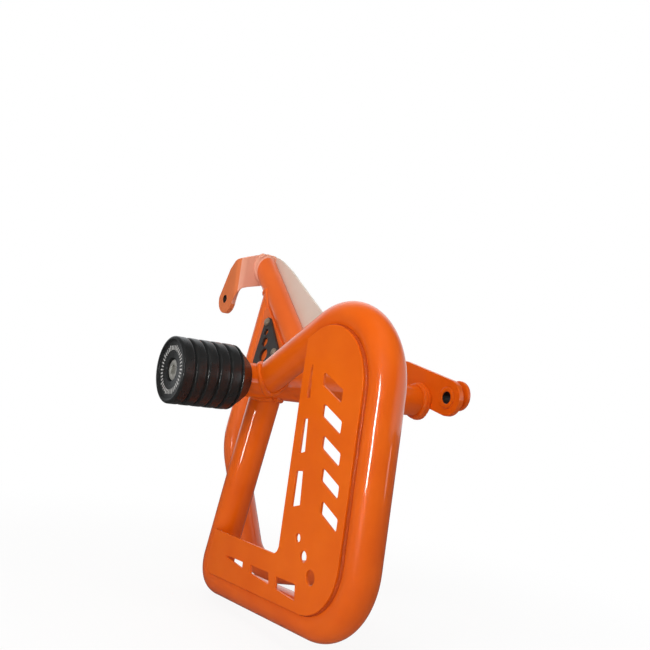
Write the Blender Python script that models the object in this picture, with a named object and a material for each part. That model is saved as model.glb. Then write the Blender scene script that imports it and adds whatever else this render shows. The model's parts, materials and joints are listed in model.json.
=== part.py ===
"""Motorcycle crash bar, one side.

A bent tube loop stands outboard of the engine, with a cut sheet plate inside it.
A cross tube carries the loop, a nylon slider on its outboard end and a mounting
lug on its inboard end. A rear frame of thinner tube holds the upper hook bracket.

Frame: the origin is where the cross tube's axis meets the plane of the loop.
+X runs across the loop, from the slider to the long upright. +Y is inboard,
along the cross tube. +Z is up. Lengths are metres.
"""

import math

import bmesh
import bpy
from mathutils import Vector
from mathutils.geometry import tessellate_polygon

MM = 0.001
GAP = 0.3 * MM              # clearance between pieces that touch

# Tube sizes
LOOP_RADIUS = 12.7 * MM     # 25.4 mm tube
LOOP_WALL = 2.0 * MM
CROSS_RADIUS = 13.45 * MM   # 26.9 mm tube
CROSS_WALL = 2.3 * MM
REAR_RADIUS = 11.1 * MM     # 22.2 mm tube
REAR_WALL = 1.8 * MM
TUBE_SIDES = 24
REAR_SIDES = 20
BEND_STEP = math.radians(11)

# Cross tube, along Y
CROSS_OUT = -20.2 * MM
CROSS_IN = 161.4 * MM

# Loop, in the plane y = 0, as the corners of its centre line
LOOP_RIGHT = 156.8 * MM
LOOP_TOP = 86.6 * MM
LOOP_DROP = 162.7 * MM      # from the cross tube down to the lower left corner
LOOP_RISE = 11.3 * MM       # of the bottom run, from left to right
LOOP_LOW_LEFT = (-36.6 * MM, -LOOP_DROP)
LOOP_LOW_RIGHT = LOOP_RISE - LOOP_DROP
LOOP_END = 6.5 * MM         # x where the left upright's line crosses z = 0
BEND_TOP = 48.2 * MM
BEND_RIGHT = 46.2 * MM
BEND_LEFT = 13.6 * MM
BEND_SWELL = 4.2 * MM       # the tight bend's outer side stands this far out

# Cut plate inside the loop
PLATE_FRONT = -13.8 * MM
PLATE_THICK = 2.0 * MM
PLATE_INSET = 5.2 * MM      # from the tube's centre line to the plate's edge
PLATE_SIDE = 7.8 * MM       # the same, beside the long upright
PLATE_TOP_BEND = 42.2 * MM
PLATE_LOW_BEND = 40.5 * MM
PLATE_LEFT_BEND = 8.5 * MM
INNER_BEND = 7.5 * MM
# the two rows of dashes are wedges cut into three, each row from its sharp end
SIDE_TIP = (87.0 * MM, 21.3 * MM)
SIDE_ROW = (                # top, foot and straight side of each dash
    (21.3 * MM, -5.5 * MM, 84.8 * MM), (-20.0 * MM, -43.8 * MM, 85.2 * MM),
    (-56.5 * MM, -80.8 * MM, 84.9 * MM),
)
SIDE_FLARE = 0.08           # growth in width for each unit of length
LOW_TIP = (-6.6 * MM, 25.4 * MM - LOOP_DROP)
LOW_ROW = (                 # left end, right end and lift of each dash
    (-6.6 * MM, 29.6 * MM, 0.0), (41.0 * MM, 68.2 * MM, 0.25 * MM), (77.6 * MM, 103.6 * MM, -0.2 * MM),
)
LOW_FLOOR = 23.5 * MM - LOOP_DROP
LOW_RISE = 0.055
LOW_FALL = 0.025
DASH_ROUND = 0.7 * MM
VENT_COUNT = 5
VENT_FIRST = (115.0 * MM, 4.5 * MM)
VENT_STEP = (4.0 * MM, -21.0 * MM)
VENT_HALF = 12.6 * MM
VENT_SHRINK = 0.6 * MM
VENT_RISE = 4.6 * MM
VENT_SLOPE = 0.42
VENT_ROUND = 1.8 * MM
CORNER_HOLES = (            # x, height above the lower left corner, radius
    (98.5 * MM, 61.7 * MM, 3.0 * MM), (108.0 * MM, 51.2 * MM, 4.0 * MM),
    (119.5 * MM, 40.2 * MM, 5.2 * MM),
)
BAND_LEFT = 75.8 * MM       # inner edge of the upright band
BAND_TOP = 44.3 * MM - LOOP_DROP   # inner edge of the lower band

# Slider
SLIDER_LENGTH = 61.9 * MM
SLIDER_BACK = CROSS_OUT - GAP
SLIDER_FACE = SLIDER_BACK - SLIDER_LENGTH
SLIDER_RADIUS = 25.4 * MM
SLIDER_NOSE = 15.8 * MM     # radius at the small end of the cone
CONE_LENGTH = 12.1 * MM
GROOVE_FIRST = 9.8 * MM     # from the face
GROOVE_PITCH = 9.7 * MM
GROOVE_DEPTH = 1.7 * MM
GROOVE_HALF = 0.9 * MM
POCKET_RADIUS = 8.8 * MM
POCKET_DEPTH = 14.6 * MM
BOLT_SHANK = 5.0 * MM       # M10
BOLT_HEAD = 8.0 * MM
BOLT_HEAD_HIGH = 9.6 * MM
BOLT_HEX = 4.6 * MM
WASHER_THICK = 1.6 * MM
WASHER_RADIUS = 8.4 * MM
BOSS_LENGTH = 30.0 * MM

# Rear frame. Its upper half lies in a plane that leans inboard.
LEAN = math.atan(0.2)
REAR_Y = 47.0 * MM
MAIN_TOP = (-147.7 * MM, 110.6 * MM)   # x and height up the leaning plane
SIDE_TOP_X = -112.0 * MM
KNEE_X = -99.0 * MM
KNEE_Y = 34.8 * MM
KNEE_Z = -61.0 * MM
U_LEFT_X = -82.0 * MM
U_LEFT_Y = 64.0 * MM
U_LEFT_Z = -8.3 * MM - LOOP_DROP
U_RIGHT_Y = 110.7 * MM      # the inboard leg hangs straight under the cross tube
U_RIGHT_Z = 6.7 * MM - LOOP_DROP
BEND_KNEE = 70.0 * MM
BEND_U_LEFT = 28.0 * MM
BEND_U_RIGHT = 55.0 * MM

# Sheet, cover and gusset in the leaning plane (x, height)
SHEET_FRONT = 10.7 * MM     # outboard of the tubes' centre plane
SHEET_THICK = 2.0 * MM
SHEET_INSET = 7.6 * MM      # from a tube's centre line to the sheet's edge
SHEET_BASE = 4.0 * MM
COVER_THICK = 2.5 * MM
COVER_CORNERS = ((-86.2, 50.6, 4.4), (-57.6, 22.6, 5.8), (-83.0, 15.5, 6.5))
COVER_HOLES = ((-82.4, 41.0, 3.1), (-79.3, 31.6, 4.3), (-74.6, 19.6, 6.0))
COVER_BOLTS = ((-85.9, 50.4), (-57.3, 23.0))
COVER_SCREW = 2.0 * MM      # M4
GUSSET_THICK = 3.0 * MM
GUSSET_FOOT = 14.0 * MM     # along the main tube from the cross tube's axis
GUSSET_END = 178.0 * MM
GUSSET_EDGE = (
    (-126.0 * MM, 119.6 * MM), (-114.3 * MM, 115.6 * MM), (-101.8 * MM, 109.6 * MM),
    (-27.0 * MM, 67.6 * MM), (6.0 * MM, 48.8 * MM), (10.8 * MM, 42.0 * MM),
)

# Hook bracket, a bent flat bar
HOOK_THICK = 5.0 * MM
HOOK_FRONT = 40.0 * MM      # y of the face of its hanging limb
HOOK_FACE = -148.0 * MM     # x of the face of its band
HOOK_BEND = 3.0 * MM        # inner bend radius
HOOK_HOLE = (-14.6 * MM, 72.6 * MM, 4.0 * MM)
HOOK_END = 14.0 * MM
HOOK_END_SHIFT = (1.4 * MM, -0.3 * MM)   # from the hole to the round end's centre
# the bar's outline laid flat, from the round end up its inner side and back
HOOK_INNER = (
    (2.4 * MM, 75.0 * MM), (4.6 * MM, 80.5 * MM), (7.4 * MM, 84.4 * MM), (12.0 * MM, 86.2 * MM),
    (34.0 * MM, 91.6 * MM), (37.6 * MM, 96.0 * MM),
)
HOOK_OUTER = (
    (37.6 * MM, 118.0 * MM), (34.5 * MM, 121.0 * MM), (20.0 * MM, 119.6 * MM), (9.0 * MM, 115.8 * MM),
    (-3.0 * MM, 110.4 * MM), (-11.5 * MM, 102.5 * MM),
)

# Lug at the inboard end
LUG_THICK = 5.0 * MM
LUG_FRONT = CROSS_IN + GAP
LUG_EYE = (35.2 * MM, 7.0 * MM)
LUG_END = 16.0 * MM
LUG_TAIL = (-27.0 * MM, 19.4 * MM, 15.6 * MM)
BUSH_RADIUS = 9.5 * MM
BUSH_BORE = 5.4 * MM
BUSH_PROUD = 0.8 * MM
EAR_RADIUS = 12.4 * MM
EAR_THICK = 4.0 * MM
EAR_BACK = CROSS_IN + 16.2 * MM


def clearScene():
    for ob in list(bpy.data.objects):
        bpy.data.objects.remove(ob, do_unlink=True)


def makeMaterial(name, colour, rough, metal):
    mat = bpy.data.materials.new(name)
    mat.use_nodes = True
    shader = mat.node_tree.nodes["Principled BSDF"]
    shader.inputs["Base Color"].default_value = (*colour, 1.0)
    shader.inputs["Roughness"].default_value = rough
    shader.inputs["Metallic"].default_value = metal
    mat.diffuse_color = (*colour, 1.0)
    return mat


def addObject(name, bm, mat, parent=None, sharp=35.0):
    """Turn a bmesh into a named object with one material."""
    bmesh.ops.remove_doubles(bm, verts=bm.verts, dist=1e-6)
    bmesh.ops.recalc_face_normals(bm, faces=bm.faces)
    mesh = bpy.data.meshes.new(name)
    bm.to_mesh(mesh)
    bm.free()
    mesh.materials.append(mat)
    mesh.shade_smooth()
    mesh.set_sharp_from_angle(angle=math.radians(sharp))
    ob = bpy.data.objects.new(name, mesh)
    bpy.context.scene.collection.objects.link(ob)
    if parent:
        ob.parent = parent
    return ob


def addEmpty(name, location, rotation=(0.0, 0.0, 0.0)):
    ob = bpy.data.objects.new(name, None)
    ob.location = location
    ob.rotation_euler = rotation
    bpy.context.scene.collection.objects.link(ob)
    return ob


# Tubes

def filletPath(corners, radii, step=BEND_STEP):
    """Points along straight runs joined by arcs of the given radii."""
    pts = [corners[0].copy()]
    for i in range(1, len(corners) - 1):
        here = corners[i]
        back = (corners[i - 1] - here).normalized()
        on = (corners[i + 1] - here).normalized()
        inside = back.angle(on)
        turn = math.pi - inside
        radius = radii[i - 1]
        run = radius / math.tan(inside / 2)
        start = here + back * run
        centre = here + (back + on).normalized() * radius / math.sin(inside / 2)
        spoke = (start - centre) / radius
        tangent = -back
        count = max(2, math.ceil(turn / step))
        for k in range(count + 1):
            a = turn * k / count
            pts.append(centre + (spoke * math.cos(a) + tangent * math.sin(a)) * radius)
    pts.append(corners[-1].copy())
    return pts


def pathFrames(pts):
    """A tangent and a side vector at each point, carried along without twist."""
    tangents = []
    for i, p in enumerate(pts):
        before = (p - pts[i - 1]).normalized() if i else (pts[1] - p).normalized()
        after = (pts[i + 1] - p).normalized() if i < len(pts) - 1 else before
        tangents.append((before + after).normalized())
    seed = Vector((0, 1, 0)) if abs(tangents[0].y) < 0.9 else Vector((1, 0, 0))
    side = (seed - tangents[0] * seed.dot(tangents[0])).normalized()
    frames = []
    for t in tangents:
        side = (side - t * side.dot(t)).normalized()
        frames.append((t, side, t.cross(side)))
    return frames


def firstHit(start, direction, saddle, ease=0.0):
    """Distance along a line to a saddle: a round tube, or a plane."""
    if saddle["kind"] == "plane":
        return (saddle["point"] - start).dot(saddle["normal"]) / direction.dot(saddle["normal"])
    axis = saddle["axis"]
    rel = start - saddle["point"]
    d = direction - axis * direction.dot(axis)
    m = rel - axis * rel.dot(axis)
    a = d.dot(d)
    b = 2 * d.dot(m)
    c = m.dot(m) - (saddle["radius"] - ease) ** 2
    root = b * b - 4 * a * c
    if root < 0:
        return None
    s = (-b - math.sqrt(root)) / (2 * a)
    if saddle.get("half") and (rel + direction * s).dot(axis) < 0:
        return None
    return s


def seatEnd(outer, inner, direction, saddles):
    """Draw an end back where its straight edges would cut into a saddle."""
    sides = len(outer)
    reach = 60 * MM
    grid = [(i / 6, j / 3) for i in range(7) for j in range(4)]
    for turn in range(5):
        back = [[0.0] * sides, [0.0] * sides]
        for k in range(sides):
            n = (k + 1) % sides
            for i, j in grid:
                rim = outer[k].lerp(outer[n], i)
                lip = inner[k].lerp(inner[n], i)
                base = rim.lerp(lip, j) - direction * reach
                hits = [firstHit(base, direction, s, 0.15 * MM) for s in saddles]
                hits = [h for h in hits if h is not None and h > 0]
                over = reach - min(hits) if hits else 0.0
                if over > 0:
                    for row in back:
                        row[k] = max(row[k], over)
                        row[n] = max(row[n], over)
        for k in range(sides):
            outer[k] = outer[k] - direction * back[0][k]
            inner[k] = inner[k] - direction * back[1][k]


def swellBend(stack, pts, corner, amount):
    """Push the outer side of a tight bend out towards its corner."""
    gaps = [(p - corner).length for p in pts]
    near = min(gaps)
    middle = pts[gaps.index(near)]
    outward = (corner - middle).normalized()
    reach = 2 * near
    for p, gap, ring in zip(pts, gaps, stack):
        share = max(0.0, (reach - gap) / (reach - near))
        for k, v in enumerate(ring):
            lean = (v - p).normalized().dot(outward)
            ring[k] = v + outward * amount * share * max(0.0, lean)


def sweepTube(name, pts, radius, wall, sides, mat, start=None, end=None, swell=None):
    """A hollow tube along a path, its ends cut to fit the saddles given."""
    frames = pathFrames(pts)
    bm = bmesh.new()
    stacks = []
    for size in (radius, radius - wall):
        stack = []
        for p, (t, side, up) in zip(pts, frames):
            ring = []
            for k in range(sides):
                a = 2 * math.pi * (k + 0.5) / sides
                ring.append(p + (side * math.cos(a) + up * math.sin(a)) * size)
            stack.append(ring)
        if swell:
            swellBend(stack, pts, *swell)
        for which, near, saddles in ((0, 1, start), (-1, -2, end)):
            if not saddles:
                continue
            direction = (pts[which] - pts[near]).normalized()
            for k in range(sides):
                base = stack[near][k]
                hits = [firstHit(base, direction, s) for s in saddles]
                hits = [h for h in hits if h is not None and h > 0]
                stack[which][k] = base + direction * min(hits)
        stacks.append(stack)
    for which, near, saddles in ((0, 1, start), (-1, -2, end)):
        if saddles:
            seatEnd(stacks[0][which], stacks[1][which], (pts[which] - pts[near]).normalized(), saddles)
    outer, inner = [[[bm.verts.new(v) for v in ring] for ring in stack] for stack in stacks]
    for k in range(sides):
        n = (k + 1) % sides
        for i in range(len(pts) - 1):
            bm.faces.new((outer[i][k], outer[i][n], outer[i + 1][n], outer[i + 1][k]))
            bm.faces.new((inner[i][n], inner[i][k], inner[i + 1][k], inner[i + 1][n]))
        bm.faces.new((outer[0][n], outer[0][k], inner[0][k], inner[0][n]))
        bm.faces.new((outer[-1][k], outer[-1][n], inner[-1][n], inner[-1][k]))
    return addObject(name, bm, mat)


# Plates

def arcPoints(centre, radius, start, stop, count):
    """Points on an arc in the x, z plane, angles in degrees."""
    out = []
    for k in range(count + 1):
        a = math.radians(start + (stop - start) * k / count)
        out.append((centre[0] + radius * math.cos(a), centre[1] + radius * math.sin(a)))
    return out


def circlePoints(centre, radius, count):
    return arcPoints(centre, radius, 0, 360 - 360 / count, count - 1)


def roundCorners(points, radii, count=4, limit=0.49):
    """Replace each corner of a closed outline with a small arc."""
    out = []
    size = len(points)
    for i, p in enumerate(points):
        here = Vector(p)
        radius = radii[i] if isinstance(radii, (list, tuple)) else radii
        if radius <= 0:
            out.append(tuple(here))
            continue
        back = (Vector(points[i - 1]) - here)
        on = (Vector(points[(i + 1) % size]) - here)
        inside = back.angle(on)
        run = radius / math.tan(inside / 2)
        run = min(run, back.length * limit, on.length * limit)
        radius = run * math.tan(inside / 2)
        back.normalize()
        on.normalize()
        centre = here + (back + on).normalized() * radius / math.sin(inside / 2)
        first = here + back * run - centre
        last = here + on * run - centre
        sweep = first.angle_signed(last) if first.length > 1e-9 else 0.0
        for k in range(count + 1):
            a = -sweep * k / count
            c, s = math.cos(a), math.sin(a)
            out.append((centre.x + first.x * c - first.y * s, centre.y + first.x * s + first.y * c))
    return out


def hullOfDiscs(discs, count=6):
    """Outline round three or more discs given in order, as (x, z, radius)."""
    out = []
    size = len(discs)
    for i in range(size):
        x, z, r = discs[i]
        ahead = discs[(i + 1) % size]
        behind = discs[i - 1]

        def outward(a, b):
            gap = Vector((b[0] - a[0], b[1] - a[1]))
            tilt = math.asin((a[2] - b[2]) / gap.length)
            return math.atan2(gap.y, gap.x) - math.pi / 2 + tilt

        first = outward(behind, discs[i])
        last = outward(discs[i], ahead)
        while last < first:
            last += 2 * math.pi
        for k in range(count + 1):
            a = first + (last - first) * k / count
            out.append((x + r * math.cos(a), z + r * math.sin(a)))
    return out


def plateMesh(outline, holes, y0, y1):
    """A flat sheet in the x, z plane with holes, from y0 to y1."""
    loops = [outline] + list(holes)
    flat = [[Vector((x, z, 0.0)) for x, z in loop] for loop in loops]
    faces = tessellate_polygon(flat)
    bm = bmesh.new()
    layers = []
    for y in (y0, y1):
        layers.append([bm.verts.new((x, y, z)) for loop in loops for x, z in loop])
    for a, b, c in faces:
        bm.faces.new((layers[0][a], layers[0][b], layers[0][c]))
        bm.faces.new((layers[1][c], layers[1][b], layers[1][a]))
    at = 0
    for loop in loops:
        for k in range(len(loop)):
            a, b = at + k, at + (k + 1) % len(loop)
            bm.faces.new((layers[0][a], layers[0][b], layers[1][b], layers[1][a]))
        at += len(loop)
    return bm


def lathe(name, profile, sides, mat, parent=None, sharp=35.0):
    """Turn a closed profile of (radius, y) round the Y axis."""
    bm = bmesh.new()
    rings = []
    for r, y in profile:
        ring = []
        for k in range(sides):
            a = 2 * math.pi * k / sides
            ring.append(bm.verts.new((r * math.cos(a), y, r * math.sin(a))))
        rings.append(ring)
    for i in range(len(rings)):
        here, on = rings[i], rings[(i + 1) % len(rings)]
        for k in range(sides):
            n = (k + 1) % sides
            bm.faces.new((here[k], here[n], on[n], on[k]))
    return addObject(name, bm, mat, parent, sharp)


def turned(name, profile, sides, mat, parent=None, sharp=35.0):
    """Turn an open profile of (radius, y) and close its two ends on the axis."""
    bm = bmesh.new()
    rings = []
    for r, y in profile:
        ring = []
        for k in range(sides):
            a = 2 * math.pi * k / sides
            ring.append(bm.verts.new((r * math.cos(a), y, r * math.sin(a))))
        rings.append(ring)
    for i in range(len(rings) - 1):
        for k in range(sides):
            n = (k + 1) % sides
            bm.faces.new((rings[i][k], rings[i][n], rings[i + 1][n], rings[i + 1][k]))
    bm.faces.new(list(reversed(rings[0])))
    bm.faces.new(rings[-1])
    return addObject(name, bm, mat, parent, sharp)


def buildCrossTube(paint, steel):
    run = [Vector((0, CROSS_OUT, 0)), Vector((0, CROSS_IN, 0))]
    sweepTube("cross_tube", run, CROSS_RADIUS, CROSS_WALL, 28, paint)
    # threaded plug welded inside the outboard end
    plug = CROSS_RADIUS - CROSS_WALL - GAP
    bore = BOLT_SHANK + GAP
    back = CROSS_OUT + BOSS_LENGTH
    profile = ((bore, CROSS_OUT), (plug, CROSS_OUT), (plug, back), (bore, back))
    lathe("slider_boss", profile, 24, steel)


def loopCorners():
    return [
        Vector((0, 0, 0)),
        Vector((LOOP_RIGHT, 0, LOOP_TOP)),
        Vector((LOOP_RIGHT, 0, LOOP_LOW_RIGHT)),
        Vector((LOOP_LOW_LEFT[0], 0, LOOP_LOW_LEFT[1])),
        Vector((LOOP_END, 0, 0)),
    ]


def buildLoop(paint):
    corners = loopCorners()
    pts = filletPath(corners, (BEND_TOP, BEND_RIGHT, BEND_LEFT))
    cross = {
        "kind": "tube", "point": Vector((0, 0, 0)), "axis": Vector((0, 1, 0)),
        "radius": CROSS_RADIUS + GAP,
    }
    # the second end also seats on the underside of the first run
    first = {
        "kind": "tube", "point": Vector((0, 0, 0)), "half": True,
        "axis": (corners[1] - corners[0]).normalized(), "radius": LOOP_RADIUS + GAP,
    }
    sweepTube("loop_tube", pts, LOOP_RADIUS, LOOP_WALL, TUBE_SIDES, paint,
              start=[cross], end=[cross, first], swell=(corners[3], BEND_SWELL))


def crossing(p, d, q, e):
    """Where two lines in the x, z plane meet, each a point and a direction."""
    det = d.x * e.z - d.z * e.x
    s = ((q.x - p.x) * e.z - (q.z - p.z) * e.x) / det
    return p + d * s


def buildLoopPlate(paint):
    corners = loopCorners()
    runs = [(corners[i + 1] - corners[i]).normalized() for i in range(4)]
    insets = (PLATE_INSET, PLATE_SIDE, PLATE_INSET, PLATE_INSET)
    # each run of the tube's centre line moved in towards the window
    edges = []
    for i, d in enumerate(runs):
        inward = Vector((d.z, 0, -d.x))
        edges.append((corners[i] + inward * insets[i], d))
    upright = (Vector((BAND_LEFT, 0, 0)), Vector((0, 0, 1)))
    shelf = (Vector((BAND_LEFT, 0, BAND_TOP)), Vector((1, 0, 0.035)).normalized())
    shape = [
        crossing(*edges[0], *upright), crossing(*edges[0], *edges[1]), crossing(*edges[1], *edges[2]),
        crossing(*edges[2], *edges[3]), crossing(*edges[3], *shelf), crossing(*upright, *shelf),
    ]
    rounds = (0, PLATE_TOP_BEND, PLATE_LOW_BEND, PLATE_LEFT_BEND, 0, INNER_BEND)
    outline = roundCorners([(p.x, p.z) for p in shape], rounds, 12, 0.9)
    holes = []
    # dashes down the upright band, ends cut on a slant
    for top, foot, left in SIDE_ROW:
        wide = [SIDE_TIP[0] + (SIDE_TIP[1] - z) * SIDE_FLARE - left for z in (top, foot)]
        if top == SIDE_TIP[1]:
            shape = (SIDE_TIP, (left + wide[1], foot + 0.1 * wide[1]), (left, foot - 0.1 * wide[1]),
                     (left, top - 8.0 * MM))
        else:
            shape = ((left, top - 0.1 * wide[0]), (left + wide[0], top + 0.05 * wide[0]),
                     (left + wide[1], foot + 0.15 * wide[1]), (left, foot - 0.15 * wide[1]))
        holes.append(roundCorners(shape, DASH_ROUND, 2))
    # dashes along the lower band
    for left, right, lift in LOW_ROW:
        rise = [LOW_TIP[1] + lift + (x - LOW_TIP[0]) * LOW_RISE for x in (left, right)]
        fall = [LOW_FLOOR + lift - (x - LOW_TIP[0]) * LOW_FALL for x in (left, right)]
        if left == LOW_TIP[0]:
            shape = (LOW_TIP, (right, rise[1]), (right, fall[1]))
        else:
            shape = ((left, rise[0]), (right - 1 * MM, rise[1]),
                     (right + 1 * MM, fall[1]), (left + 1 * MM, fall[0]))
        holes.append(roundCorners(shape, DASH_ROUND, 2))
    # slanted vents down the middle of the band
    for k in range(VENT_COUNT):
        x = VENT_FIRST[0] + VENT_STEP[0] * k
        z = VENT_FIRST[1] + VENT_STEP[1] * k
        half = VENT_HALF - VENT_SHRINK * k
        slope = VENT_SLOPE * half
        holes.append(roundCorners((
            (x - half, z - VENT_RISE + slope), (x - half, z + VENT_RISE + slope),
            (x + half, z + VENT_RISE - slope), (x + half, z - VENT_RISE - slope)), VENT_ROUND, 3))
    # three round holes in a graded row at the corner
    for x, high, r in CORNER_HOLES:
        holes.append(circlePoints((x, high - LOOP_DROP), r, 16))
    bm = plateMesh(outline, holes, PLATE_FRONT, PLATE_FRONT + PLATE_THICK)
    addObject("loop_plate", bm, paint, sharp=30)


def buildSlider(nylon, steel):
    hub = addEmpty("slider_axis", (0, SLIDER_FACE, 0))
    length = SLIDER_BACK - SLIDER_FACE
    bore = BOLT_SHANK + GAP + 0.2 * MM
    rim = 3.2 * MM
    profile = [(bore, POCKET_DEPTH), (POCKET_RADIUS, POCKET_DEPTH), (POCKET_RADIUS, 0.6 * MM),
               (POCKET_RADIUS + 0.6 * MM, 0.0)]
    ringIn = 20.2 * MM
    profile += [(ringIn, 0.0), (ringIn + 0.4 * MM, 0.7 * MM), (ringIn + 1.2 * MM, 0.0)]
    for k in range(4):
        a = math.radians(30 * k)
        profile.append((SLIDER_RADIUS - rim + rim * math.sin(a), rim - rim * math.cos(a)))
    crown = 0.35 * MM
    cone = length - CONE_LENGTH
    # as many grooves as the straight part has room for
    count = int((cone - GROOVE_HALF - GROOVE_FIRST) / GROOVE_PITCH) + 1
    for k in range(count):
        at = GROOVE_FIRST + GROOVE_PITCH * k
        profile.append((SLIDER_RADIUS - crown, at - GROOVE_HALF))
        profile.append((SLIDER_RADIUS - GROOVE_DEPTH, at - 0.35 * MM))
        profile.append((SLIDER_RADIUS - GROOVE_DEPTH, at + 0.35 * MM))
        profile.append((SLIDER_RADIUS - crown, at + GROOVE_HALF))
        if k < count - 1:
            profile.append((SLIDER_RADIUS, at + GROOVE_PITCH / 2))
    profile.append((SLIDER_RADIUS - 0.2 * MM, cone + 0.2 * MM))
    profile.append((SLIDER_RADIUS - 0.9 * MM, cone + 1.0 * MM))
    profile.append((SLIDER_NOSE + 1.2 * MM, length - 2.2 * MM))
    profile.append((SLIDER_NOSE, length))
    profile.append((bore, length))
    lathe("slider_body", profile, 32, nylon, hub, 40)
    # washer at the bottom of the pocket, bolt head on it
    top = POCKET_DEPTH - GAP
    low = top - WASHER_THICK
    hole = BOLT_SHANK + 0.4 * MM
    lathe("slider_washer", ((hole, top), (hole, low), (WASHER_RADIUS, low), (WASHER_RADIUS, top)),
          28, steel, hub)
    seat = low - GAP
    crownY = seat - BOLT_HEAD_HIGH
    tip = CROSS_OUT + 26 * MM - SLIDER_FACE
    bm = bmesh.new()
    sides = 24
    rings = []
    for r, y in ((BOLT_HEX * 1.08, crownY), (BOLT_HEAD - 0.8 * MM, crownY),
                 (BOLT_HEAD, crownY + 0.8 * MM), (BOLT_HEAD, seat), (BOLT_SHANK, seat), (BOLT_SHANK, tip)):
        rings.append([bm.verts.new((r * math.cos(2 * math.pi * k / sides), y,
                                    r * math.sin(2 * math.pi * k / sides))) for k in range(sides)])
    for i in range(1, len(rings) - 1):
        for k in range(sides):
            n = (k + 1) % sides
            bm.faces.new((rings[i][k], rings[i][n], rings[i + 1][n], rings[i + 1][k]))
    bm.faces.new(rings[-1])
    for v in rings[0]:
        bm.verts.remove(v)
    # hexagon socket, each side of it shared by four faces of the rim
    mouth = []
    floor = []
    for k in range(sides):
        a = 2 * math.pi * k / sides
        inSector = (a + math.pi / 6) % (math.pi / 3) - math.pi / 6
        r = BOLT_HEX * math.cos(math.pi / 6) / math.cos(inSector - 0.0)
        mouth.append(bm.verts.new((r * math.cos(a), crownY, r * math.sin(a))))
        floor.append(bm.verts.new((r * math.cos(a), crownY + 5 * MM, r * math.sin(a))))
    for k in range(sides):
        n = (k + 1) % sides
        bm.faces.new((rings[1][k], mouth[k], mouth[n], rings[1][n]))
        bm.faces.new((mouth[k], floor[k], floor[n], mouth[n]))
    bm.faces.new(floor)
    addObject("slider_bolt", bm, steel, hub, 30)


def leanPoint(x, high):
    """A point of the leaning plane in world space."""
    return Vector((x, REAR_Y + high * math.sin(LEAN), high * math.cos(LEAN)))


def buildRearFrame(paint):
    foot = leanPoint(0, 0)
    top = leanPoint(*MAIN_TOP)
    axis = (top - foot).normalized()
    cross = {
        "kind": "tube", "point": Vector((0, 0, 0)), "axis": Vector((0, 1, 0)),
        "radius": CROSS_RADIUS + GAP,
    }
    face = {"kind": "plane", "point": Vector((HOOK_FACE + GAP, 0, 0)), "normal": Vector((1, 0, 0))}
    middle = (foot + top) / 2
    sweepTube("rear_main_tube", [foot, middle, top], REAR_RADIUS, REAR_WALL, REAR_SIDES, paint,
              start=[cross], end=[face])
    # the side tube hangs under the main tube, turns at the knee and runs round a U
    # to the inboard part of the cross tube
    share = SIDE_TOP_X / (top.x - foot.x)
    hang = foot + (top - foot) * share
    saddle = {"kind": "tube", "point": foot, "axis": axis, "radius": REAR_RADIUS + GAP}
    corners = [hang, Vector((KNEE_X, KNEE_Y, KNEE_Z)), Vector((U_LEFT_X, U_LEFT_Y, U_LEFT_Z)),
               Vector((0, U_RIGHT_Y, U_RIGHT_Z)), Vector((0, U_RIGHT_Y, 0))]
    pts = filletPath(corners, (BEND_KNEE, BEND_U_LEFT, BEND_U_RIGHT))
    sweepTube("rear_side_tube", pts, REAR_RADIUS, REAR_WALL, REAR_SIDES, paint,
              start=[saddle], end=[cross])


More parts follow.
